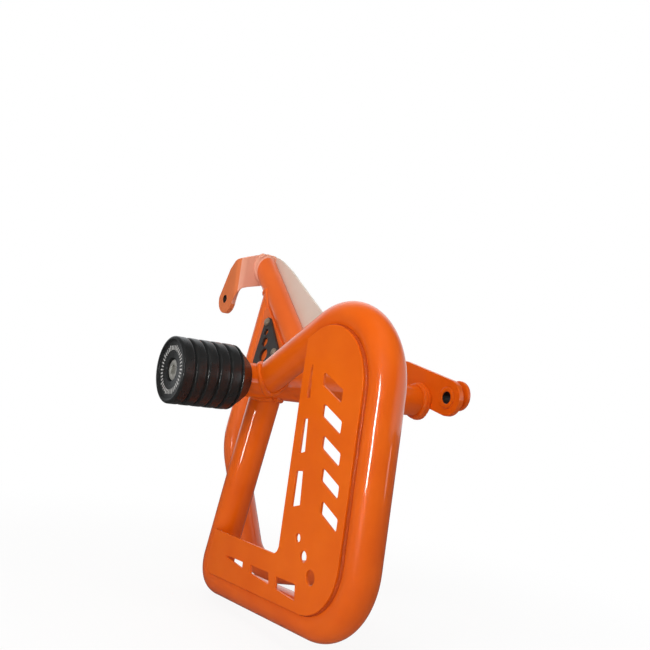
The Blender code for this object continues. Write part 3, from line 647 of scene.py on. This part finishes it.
def sliderProfile(inner):
    s = sliderSet
    face, back, radius, rim, nose = s["face"], s["back"], s["radius"], s["rim"], s["nose"]
    pocket, deep = s["pocket"]
    profile = [(s["bore"], face + deep), (pocket, face + deep), (pocket, inner + 0.8)]
    for k in range(1, 5):
        a = math.radians(22.5 * k)
        profile.append((pocket + 0.6 - 0.6 * math.cos(a), inner + 0.6 - 0.6 * math.sin(a)))
    profile += [(s["lip"] + out, face + cut) for out, cut in s["lipStep"]]
    for k in range(9):
        a = math.radians(90 * k / 8)
        profile.append((radius - rim + rim * math.sin(a), face + rim * (1 - math.cos(a))))
    # narrow rounded grooves between gently crowned ribs
    start, pitch, count = s["grooves"]
    groove = [(-off, cut) for off, cut in reversed(s["groove"])] + list(s["groove"])
    for g in range(count):
        at = start + pitch * g
        profile += [(radius - cut, at + off) for off, cut in groove if at + off < s["cone"]]
    for off, cut in ((0.05, 0.22), (0.45, 0.42), (0.9, 0.85), (1.3, 1.35)):
        profile.append((radius - cut, s["cone"] + off))
    for out, up in ((3.6, 4.6), (1.3, 2.2), (0.5, 1.1), (0.0, 0.2), (-0.5, 0.0)):
        profile.append((nose + out, back - up))
    return profile + [(s["bore"], back)]


def makeSlider():
    s = sliderSet
    inner = s["face"] + s["lipStep"][0][1]
    body = latheMesh(sliderProfile(inner), 128)
    finishPiece("slider_body_skin", body, nylon, ("slider_body",), 50)
    # plain ticks round the face
    bm = bmesh.new()
    low, high = s["markRing"]
    half = s["markWide"] / 2
    for k in range(s["marks"]):
        a = 2 * math.pi * (k + 0.5) / s["marks"]
        reach = high if k % 4 else high + 0.7
        rad = Vector((math.cos(a), 0, math.sin(a)))
        tan = Vector((-math.sin(a), 0, math.cos(a)))
        quad = [rad * low - tan * half, rad * reach - tan * half, rad * reach + tan * half,
                rad * low + tan * half]
        rows = [[bm.verts.new((q + yAxis * y) * mm) for q in quad] for y in (inner - 0.15, inner + 0.3)]
        wallRings(bm, rows)
        capRings(bm, rows)
    finishPiece("slider_marks", bm, markPaint)


boltSet = {
    "crown": -79.6, "hex": 4.6, "socket": 5.0, "sides": 72,
    "rings": ((5.9, 0.0), (6.9, 0.08), (7.6, 0.35), (8.0, 0.9), (8.0, 9.6), (4.9, 9.6), (4.9, 40.0)),
    "washer": ((5.4, -68.1), (5.4, -69.7), (8.2, -69.7), (8.4, -69.5), (8.4, -68.1)),
}


def makeSliderBolt():
    s = boltSet
    sides = s["sides"]
    bm = bmesh.new()

    def ringAt(radii, y):
        angles = [2 * math.pi * k / sides for k in range(sides)]
        return [bm.verts.new(vec(r * math.cos(a), s["crown"] + y, r * math.sin(a)))
                for r, a in zip(radii, angles)]

    rows = [ringAt([r] * sides, y) for r, y in s["rings"]]
    wallRings(bm, rows)
    bm.faces.new(rows[-1])
    # the socket is a hexagon with blunt corners and a small lead-in
    flats = []
    for k in range(sides):
        inSector = (2 * math.pi * k / sides + math.pi / 6) % (math.pi / 3) - math.pi / 6
        flats.append(min(s["hex"] * math.cos(math.pi / 6) / math.cos(inSector), s["hex"] * 0.985))
    levels = [ringAt([r + grow for r in flats], y)
              for grow, y in ((0.35, 0.0), (0.0, 0.4), (0.0, s["socket"]))]
    wallRings(bm, [rows[0]] + levels)
    bm.faces.new(levels[-1])
    finishPiece("slider_bolt_skin", bm, boltSteel, ("slider_bolt",), 30)
    finishPiece("slider_washer_skin", latheMesh(s["washer"], 72), boltSteel, ("slider_washer",), 30)


makeSlider()
makeSliderBolt()
print("slider ready")


# rear frame: two tubes in a plane that leans back a little

lean = math.atan(0.2)
rearSet = {
    "radius": 10.94 * mm, "y": 47.0, "top": (-147.7, 110.6), "sideTop": -112.0,
    "knee": vec(-99.0, 34.8, -61.0), "left": vec(-82.0, 64.0, -171.0),
    "right": vec(0.0, 110.7, -156.0), "end": vec(0.0, 110.7, 0.0), "bends": (70 * mm, 28 * mm, 55 * mm),
    "cut": vec(-147.75, 0, 0), "wash": vec(-142.6, 0, 0),
}
leanFrame = Matrix.Translation((0, rearSet["y"] * mm, 0)) @ Matrix.Rotation(-lean, 4, "X")
mainFoot = leanFrame @ vec(0, 0, 0)
mainTop = leanFrame @ vec(rearSet["top"][0], 0, rearSet["top"][1])
mainAxis = (mainTop - mainFoot).normalized()
hang = mainFoot + (mainTop - mainFoot) * (rearSet["sideTop"] / rearSet["top"][0])


def makeRearTubes():
    s = rearSet
    # the top is cut square to X, flat against the bracket's band
    bm = tubeMesh([mainFoot, mainTop + mainAxis * 12 * mm], s["radius"], 64)
    bmesh.ops.bisect_plane(bm, geom=everything(bm), plane_co=s["cut"], plane_no=(-1, 0, 0), clear_outer=True)
    bmesh.ops.holes_fill(bm, edges=[e for e in bm.edges if e.is_boundary])
    # painted reflection: the first millimetres of the tube take the band's pale sheen colour
    bmesh.ops.bisect_plane(bm, geom=everything(bm), plane_co=s["wash"], plane_no=(-1, 0, 0))
    ob = finishPiece("rear_main_skin", bm, rearCoat, ("rear_main_tube",))
    ob.data.materials.append(bandSheenCoat)
    for face in ob.data.polygons:
        if face.center.x < s["wash"].x:
            face.material_index = 1
    pts = filletPath([hang, s["knee"], s["left"], s["right"], s["end"]], s["bends"])
    bm = tubeMesh(pts, s["radius"], 64)
    finishPiece("rear_side_skin", bm, rearCoat, ("rear_side_tube",))


def leanPlate(name, outline, holes, span, edge, mat, node):
    # a plate in the leaning plane, its faces at the two depths of span
    bm = plateMesh(outline, holes, span[0] * mm, span[1] * mm, edge * mm)
    bmesh.ops.transform(bm, matrix=leanFrame, verts=bm.verts)
    finishPiece(name, bm, mat, (node,), 60, True)


sheetSet = {"left": 7.6, "right": 6.3, "base": 4.0, "topWidth": 6.0, "round": 1.5, "edge": 0.3,
            "span": (-10.7, -8.7)}


def makeBackingSheet():
    s = sheetSet
    topX, topH = rearSet["top"]
    kneeX, kneeH = rearSet["knee"].x / mm, rearSet["knee"].z / mm / math.cos(lean)
    slope = (rearSet["sideTop"] - kneeX) / (topH * rearSet["sideTop"] / topX - kneeH)
    rightInset = s["right"] * math.hypot(topX, topH) / topH

    def leftX(h):
        return kneeX + (h - kneeH) * slope + s["left"]

    def rightX(h):
        return topX / topH * h - rightInset

    apex = s["base"]
    while leftX(apex) < rightX(apex) - s["topWidth"]:
        apex += 0.5
    corners = [(side(h), h) for side, h in (
        (leftX, s["base"]), (rightX, s["base"]), (rightX, apex), (leftX, apex))]
    outline = roundCorners(inMetres(corners), s["round"] * mm, 5)
    leanPlate("backing_sheet_skin", outline, [], s["span"], s["edge"], rearCoat,
              "backing_sheet")


coverSet = {
    "front": -11.0, "thick": 2.5, "edge": 0.35,
    "corners": ((-86.2, 50.6, 4.4), (-57.6, 22.6, 5.8), (-83.0, 15.5, 6.5)),
    "holes": ((-82.4, 41.0, 3.1), (-79.3, 31.6, 4.3), (-74.6, 19.6, 6.0)),
    "bolts": {"upper": (-85.9, 50.4), "lower": (-57.3, 23.0)}, "boltRadius": 3.75, "boltFoot": -7.6,
    "boltRim": 0.35, "boltRise": 2.2,
}


def makeCover():
    s = coverSet
    seat = s["front"] - s["thick"]
    outline = inMetres(hullOfDiscs(s["corners"][::-1]))
    holes = [circlePoints((x * mm, h * mm), r * mm) for x, h, r in s["holes"]]
    leanPlate("cover_plate_skin", outline, holes, (seat, s["front"]), s["edge"], blackCoat,
              "cover_plate")
    for label, (x, h) in s["bolts"].items():
        r, rim, rise = s["boltRadius"], s["boltRim"], s["boltRise"]
        dome = [(0.15, seat - rim - rise)]
        for k in range(1, 9):
            a = math.radians(90 * k / 8)
            dome.append((r * math.sin(a), seat - rim - rise * math.cos(a)))
        dome += [(r, seat), (2.0, seat), (2.0, s["boltFoot"])]
        bm = latheMesh(dome, 48, (x * mm, h * mm), False)
        bmesh.ops.transform(bm, matrix=leanFrame, verts=bm.verts)
        finishPiece("cover_bolt_" + label + "_skin", bm, domeSteel, ("cover_bolt_" + label,), 35)


# the gusset lies behind the main tube's axis, so the whole tube shows in front of it
gussetSet = {
    "span": (6.6, 9.4), "edge": 0.4, "round": 1.2, "heel": (4.0, 14.0), "foot": (16, 7.4), "head": (184, 7.4),
    "crest": ((-147.4, 120.4), (-147.2, 124.4), (-142.0, 123.6), (-131.2, 119.7), (-108.5, 109.2),
              (-79.4, 93.0), (-39.5, 71.3), (-18.8, 60.2), (2.0, 46.0), (6.0, 40.0)),
}


def makeGusset():
    s = gussetSet
    topX, topH = rearSet["top"]
    size = math.hypot(topX, topH)
    ux, uh = topX / size, topH / size

    def beside(along, out):
        # a point along the main tube, some way out from its axis
        return ux * along + uh * out, uh * along - ux * out

    points = [s["heel"], beside(*s["foot"]), beside(*s["head"])] + list(s["crest"])
    outline = roundCorners(inMetres(points), s["round"] * mm, 4)
    # painted reflection: the gusset takes the pale sheen colour
    leanPlate("gusset_skin", outline, [], s["span"], s["edge"], gussetSheenCoat, "gusset_plate")


makeRearTubes()
makeBackingSheet()
makeCover()
makeGusset()
print("rear frame ready")


# hook bracket and lug, in mm

def boreShadeSleeve(name, inner, outer, depth, centre):
    # painted shade: a dark sleeve inside a bolt hole stands in for the shadow there
    y0, y1 = depth
    profile = ((inner, y1), (inner, y0), (outer, y0), (outer, y1))
    bm = latheMesh(profile, 48, (centre[0] * mm, centre[1] * mm))
    finishPiece(name, bm, boreShade)


hookSet = {
    "thick": 5.0, "front": 40.0, "face": -148.0, "bend": 3.0, "edge": 0.5, "sheenFrom": 0.3,
    "hole": (-14.6, 72.6, 4.0), "end": (-13.2, 72.3, 13.85),
    "side": ((2.4, 75.0), (4.6, 80.5), (7.4, 84.4), (12.0, 86.2), (34.0, 91.6), (37.6, 96.0), (37.6, 118.0),
             (34.5, 121.0), (20.0, 119.6), (9.0, 115.8), (-3.0, 110.4), (-11.5, 102.5)),
}


def makeHook():
    # the bar is drawn flat, then bent round so that its long leg runs along Y
    s = hookSet
    front = s["front"] * mm
    hx, hz, hr = s["hole"]
    endX, endZ, endR = s["end"]
    outline = arcPoints((endX * mm, endZ * mm), endR * mm, 172, 352, 20) + inMetres(s["side"])
    bm = plateMesh(outline, [circlePoints((hx * mm, hz * mm), hr * mm)], 0, s["thick"] * mm, s["edge"] * mm)
    outer = (s["thick"] + s["bend"]) * mm
    arc = (s["bend"] + s["thick"] / 2) * mm * math.pi / 2
    bendX = s["face"] * mm - outer
    steps = 16
    for k in range(steps + 1):
        cut = (arc * k / steps, 0, 0)
        bmesh.ops.bisect_plane(bm, geom=everything(bm), dist=1e-7, plane_co=cut, plane_no=(1, 0, 0))
    centreY = front + outer
    for v in bm.verts:
        u, t, z = v.co
        if u <= 0:
            v.co = (bendX + u, front + t, z)
        else:
            a = min(u, arc) / arc * math.pi / 2
            r = outer - t
            v.co = (bendX + r * math.sin(a), centreY - r * math.cos(a) + max(0.0, u - arc), z)
    ob = finishPiece("hook_skin", bm, hookCoat, ("hook_bracket",), 50, True)
    ob.data.materials.append(bandSheenCoat)
    # painted reflection: faces on and past the bend take the band's pale sheen colour
    for face in ob.data.polygons:
        if face.center.x > bendX and face.center.y > front + s["sheenFrom"] * outer:
            face.material_index = 1
    depth = (s["front"] + 0.3, s["front"] + s["thick"] - 0.3)
    boreShadeSleeve("hook_bore_shade", hr - 0.45, hr - 0.04, depth, (bendX / mm + hx, hz))


lugSet = {
    "front": 161.7, "thick": 5.0, "edge": 0.6, "eye": (35.2, 7.0, 16.0), "tail": (-27.0, 19.4, 15.6),
    "hole": 9.3, "bush": (9.5, 5.4, 177.2), "ring": (13.2, 6.7, 173.6, 177.55), "ringLift": 2.8,
}


def makeLug():
    s = lugSet
    ex, ez = s["eye"][:2]
    eye = (ex * mm, ez * mm)
    outline = inMetres(hullOfDiscs([s["eye"], s["tail"]], 28))
    bm = plateMesh(outline, [circlePoints(eye, s["hole"] * mm, 56)], s["front"] * mm,
                   (s["front"] + s["thick"]) * mm, s["edge"] * mm)
    finishPiece("lug_plate_skin", bm, orangeCoat, ("lug_plate",), 60, True)
    r, b, y1 = s["bush"]
    y0 = s["front"] - 0.8
    profile = ((b, y1), (b, y0 + 0.7), (b + 0.25, y0 + 0.2), (b + 0.8, y0), (r - 0.8, y0),
               (r - 0.25, y0 + 0.2), (r, y0 + 0.7), (r, y1))
    finishPiece("lug_bush_skin", latheMesh(profile, 72, eye), orangeCoat, ("lug_bush",), 50)
    boreShadeSleeve("lug_bore_shade", b - 0.3, b - 0.03, (y0 + 0.9, y1 - 0.3), (ex, ez))
    r, b, y0, y1 = s["ring"]
    profile = ((b, y1), (b, y0), (r - 0.9, y0), (r - 0.25, y0 + 0.25), (r, y0 + 0.9), (r, y1 - 0.9),
               (r - 0.25, y1 - 0.25), (r - 0.9, y1))
    bm = latheMesh(profile, 72, (ex * mm, (ez + s["ringLift"]) * mm))
    finishPiece("lug_ring_skin", bm, orangeCoat, ("lug_rear_ring",), 50)


makeHook()
makeLug()
print("brackets ready")


# welds

weldSet = {
    "large": 2.3 * mm, "small": 1.7 * mm, "pitch": 2.6 * mm, "loopRadius": 12.7 * mm,
    # collars at the lug, in mm: place along Y, stand-off from the cross tube, size, pitch
    "collars": ((157.6, 0.3, 2.5, 3.4), (160.0, 0.9, 2.3, 3.1)), "bush": (167.2, 10.2),
    "hook": {"size": 2.5 * mm, "x": -147.4 * mm, "top": 119.2 * mm},
    "seam": {"size": 1.9 * mm, "inset": (6.2, 7.0, 6.2, 6.2), "start": 88 * mm, "end": 30 * mm,
             "bends": (42.6 * mm, 40.9 * mm, 8.9 * mm)},
}


def ringPoints(centre, radius, count=160):
    return [Vector((centre[0] + radius * math.cos(2 * math.pi * k / count), centre[1],
                    centre[2] + radius * math.sin(2 * math.pi * k / count))) for k in range(count)]


def jointBead(bm, size, *joint):
    pts = tubeJoint(*joint)
    beadMesh(bm, pts, size, weldSet["pitch"], len(pts) == 180)


def makeNodeWelds():
    corners = loopSet["corners"]
    back = loopSet["setBack"]
    low = corners[4].lerp(corners[3], 0.12)
    topRun = (corners[0] - corners[1]).normalized()
    upright = (corners[4] + back - low - back * leanShare(low.z)).normalized()
    bm = bmesh.new()
    for foot, way in ((middle, topRun), (corners[4] + back, upright)):
        jointBead(bm, weldSet["large"], foot, way, weldSet["loopRadius"], middle, yAxis, crossSet["radius"])
    finishPiece("node_welds", bm, orangeCoat)


def makeLugWelds():
    bm = bmesh.new()
    for y, out, size, pitch in weldSet["collars"]:
        beadMesh(bm, ringPoints((0, y * mm, 0), crossSet["radius"] + out * mm), size * mm, pitch * mm)
    y, radius = weldSet["bush"]
    ex, ez = lugSet["eye"][:2]
    beadMesh(bm, ringPoints(vec(ex, y, ez), radius * mm), weldSet["small"], weldSet["pitch"])
    finishPiece("lug_welds", bm, orangeCoat)


def makeRearWelds():
    s = rearSet
    r, crossR = s["radius"], crossSet["radius"]
    down = (hang - s["knee"]).normalized()
    up = (s["end"] - s["right"]).normalized()
    bm = bmesh.new()
    for joint in ((mainFoot, -mainAxis, r, middle, yAxis, crossR), (hang, down, r, mainFoot, mainAxis, r),
                  (s["end"], up, r, middle, yAxis, crossR)):
        jointBead(bm, weldSet["small"], *joint)
    finishPiece("rear_welds", bm, rearCoat)


def makeHookWeld():
    # fillet where the main tube's end meets the bracket's band
    s = weldSet["hook"]
    wide = mainAxis.cross(yAxis).normalized()
    tall = mainAxis.cross(wide).normalized()
    rim = []
    for k in range(160):
        a = 2 * math.pi * k / 160
        p = mainTop + (wide * math.cos(a) + tall * math.sin(a)) * rearSet["radius"]
        p += mainAxis * ((s["x"] - p.x) / mainAxis.x)
        p.z = min(p.z, s["top"])
        rim.append(p)
    bm = bmesh.new()
    beadMesh(bm, rim, s["size"], weldSet["pitch"])
    # painted reflection: the bead wears the band's pale sheen colour
    finishPiece("hook_welds", bm, bandSheenCoat)


def makePanelWeld():
    # a bead that closes the seam behind the panel's edge; its darker coat is painted shade for the shadowed
    # gap
    s = weldSet["seam"]
    seam = []
    for (p, d), inset in zip(insideEdges(s["inset"]), s["inset"]):
        seam.append((p - yAxis * math.sqrt(loopSet["radius"] ** 2 - (inset * mm) ** 2), d))
    turns = [crossing(*seam[i], *seam[i + 1]) for i in range(3)]
    start = seam[0][0] + seam[0][1] * s["start"]
    end = turns[2] + seam[3][1] * s["end"]
    bm = bmesh.new()
    beadMesh(bm, filletPath([start] + turns + [end], s["bends"]), s["size"], weldSet["pitch"], False)
    finishPiece("panel_welds", bm, seamShadeCoat)


makeNodeWelds()
makeLugWelds()
makeRearWelds()
makeHookWeld()
makePanelWeld()
print("welds ready")

# the plug inside the cross tube keeps its own solid
for ob in frame["nodes"].values():
    if ob.name.startswith("slider_boss"):
        for slot in ob.material_slots:
            slot.material = boltSteel


# floor, backdrop, light and camera

stageSet = {
    "half": 3.0, "below": 0.5 * mm, "colour": (0.86, 0.86, 0.86, 1), "rough": 0.7,
    "shadowFade": {"From Min": 0.2, "From Max": 0.55, "To Min": 0.9, "To Max": 1.0},
}
# what mirrors see: direction, where it starts and is full, strength
worldSet = {
    "room": 0.1, "behind": ((-0.8319, 0.5520, 0.0567), 0.4, 0.92, 1.0),
    "panel": ((0.505, 0.808, -0.303), 0.45, 0.95, 1.6), "cool": (0.94, 0.97, 1.0, 1),
    "fill": 0.13, "warm": (1.0, 0.82, 0.68, 1),
}
camSet = {
    "place": (0.5939, -0.3446, 0.0124), "right": (0.5541, 0.8208, 0.1389),
    "up": (-0.0301, -0.1470, 0.9887), "back": (0.8319, -0.5520, -0.0567), "lens": 47.58,
}
# place, aim, width, height, power, angle of the beam; a mirror lamp shows only as a reflection, a matt
# one only lights surfaces; the strip draws the long line down the outer upright
lampSet = {
    "mirror": {
        "strip": ((0.285, -1.01, 0.02), (0.163, 0, 0.07), 0.09, 0.7, 0.5, 32),
        "glint": ((0.9, 0.5, -0.28), (0.0, -0.05, 0.0), 0.15, 0.4, 0.7, 180),
    },
    "matt": {
        "left": ((0.1, -1.1, 0.2), (0.05, 0, 0.0), 1.0, 0.8, 2.2, 180),
        "left_front": ((0.45, -0.85, 0.4), (0, 0, 0.02), 0.5, 0.5, 3.2, 180),
        "front": ((0.75, -0.62, 0.5), (0.0, 0.03, -0.03), 0.7, 0.7, 2.0, 180),
        "overhead": ((0.3, -0.2, 0.85), (0, 0, 0.05), 0.6, 0.6, 4.2, 180),
        "right_back": ((0.9, 0.6, 0.6), (0, 0, -0.02), 0.8, 0.8, 2.0, 180),
        "back": ((-0.9, 0.6, 0.8), (0, 0, -0.02), 0.8, 0.8, 7.0, 180),
    },
}


def mixLayers(tree, base, layers):
    # each layer covers what is below it by its share
    for share, layer in layers:
        base = addNode(tree, "ShaderNodeMixShader", {"Fac": share, 1: base, 2: layer}).outputs["Shader"]
    return base


def smoothFade(tree, source, limits):
    fade = addNode(tree, "ShaderNodeMapRange", {"Value": source, **limits}, interpolation_type="SMOOTHSTEP")
    return fade.outputs["Result"]


def makeFloor():
    s = stageSet
    mat, tree, shader = newMaterial("studio_white")
    setInputs(tree, shader, {"Base Color": s["colour"], "Roughness": s["rough"]})
    white, dim = [addNode(tree, "ShaderNodeEmission", {"Color": (1, 1, 1, 1), "Strength": power})
                  for power in (1.0, worldSet["room"])]
    # near the object the camera sees a trace of the lit floor, so a faint shadow stays
    coords = addNode(tree, "ShaderNodeTexCoord")
    away = addNode(tree, "ShaderNodeVectorMath", {0: coords.outputs["Object"]}, operation="LENGTH")
    fade = smoothFade(tree, away.outputs["Value"], s["shadowFade"])
    path = addNode(tree, "ShaderNodeLightPath")
    seen = addNode(tree, "ShaderNodeMath", {0: path.outputs["Is Camera Ray"], 1: fade}, operation="MULTIPLY")
    layers = mixLayers(tree, shader.outputs["BSDF"], (
        (path.outputs["Is Glossy Ray"], dim.outputs["Emission"]),
        (seen.outputs["Value"], white.outputs["Emission"])))
    tree.links.new(layers, tree.nodes["Material Output"].inputs["Surface"])
    size, z = s["half"], cadBox[0][2] - s["below"]
    mesh = bpy.data.meshes.new("studio_floor")
    mesh.from_pydata([(-size, -size, z), (size, -size, z), (size, size, z), (-size, size, z)], [],
                     [(0, 1, 2, 3)])
    mesh.materials.append(mat)
    ob = bpy.data.objects.new("studio_floor", mesh)
    bpy.context.scene.collection.objects.link(ob)


def makeWorld():
    # mirror rays see the white backdrop behind the object, a bright panel on the right and a dim
    # room elsewhere; other rays get a low warm fill
    s = worldSet
    world = bpy.data.worlds.new("studio_world")
    bpy.context.scene.world = world
    world.use_nodes = True
    tree = world.node_tree
    tree.nodes.clear()
    coords = addNode(tree, "ShaderNodeTexCoord")
    mirror = s["room"]
    for direction, low, high, top in (s["behind"], s["panel"]):
        dot = addNode(tree, "ShaderNodeVectorMath", {0: coords.outputs["Generated"], 1: direction},
                      operation="DOT_PRODUCT")
        patch = smoothFade(tree, dot.outputs["Value"], {
            "From Min": low, "From Max": high, "To Min": 0.0, "To Max": top})
        mirror = addNode(tree, "ShaderNodeMath", {0: mirror, 1: patch}, operation="ADD").outputs["Value"]
    fill, room, white = [
        addNode(tree, "ShaderNodeBackground", {"Color": colour, "Strength": power}).outputs["Background"]
        for colour, power in ((s["warm"], s["fill"]), (s["cool"], mirror), ((1, 1, 1, 1), 1.0))]
    path = addNode(tree, "ShaderNodeLightPath")
    layers = mixLayers(tree, fill, (
        (path.outputs["Is Glossy Ray"], room), (path.outputs["Is Camera Ray"], white)))
    addNode(tree, "ShaderNodeOutputWorld", {"Surface": layers})


def makeCamera():
    s = camSet
    data = bpy.data.cameras.new("photo_camera")
    data.lens = s["lens"]
    data.sensor_width = 36.0
    data.sensor_fit = "HORIZONTAL"
    data.clip_start = 0.01
    data.clip_end = 20
    ob = bpy.data.objects.new("photo_camera", data)
    rows = Matrix((s["right"], s["up"], s["back"])).transposed()
    ob.matrix_world = Matrix.Translation(s["place"]) @ rows.to_quaternion().to_matrix().to_4x4()
    bpy.context.scene.collection.objects.link(ob)
    bpy.context.scene.camera = ob


def makeLamps():
    for kind, lamps in lampSet.items():
        for name, (place, aim, wide, tall, power, beam) in lamps.items():
            data = bpy.data.lights.new(name, "AREA")
            data.shape = "RECTANGLE"
            data.size = wide
            data.size_y = tall
            data.energy = power
            data.spread = math.radians(beam)
            ob = bpy.data.objects.new(name, data)
            ob.location = place
            ob.rotation_euler = (Vector(aim) - Vector(place)).to_track_quat("-Z", "Y").to_euler()
            bpy.context.scene.collection.objects.link(ob)
            ob.visible_glossy = kind == "mirror"
            ob.visible_diffuse = kind == "matt"


makeFloor()
makeWorld()
makeCamera()
makeLamps()
bpy.context.scene.view_settings.view_transform = "Standard"
print("stage ready")
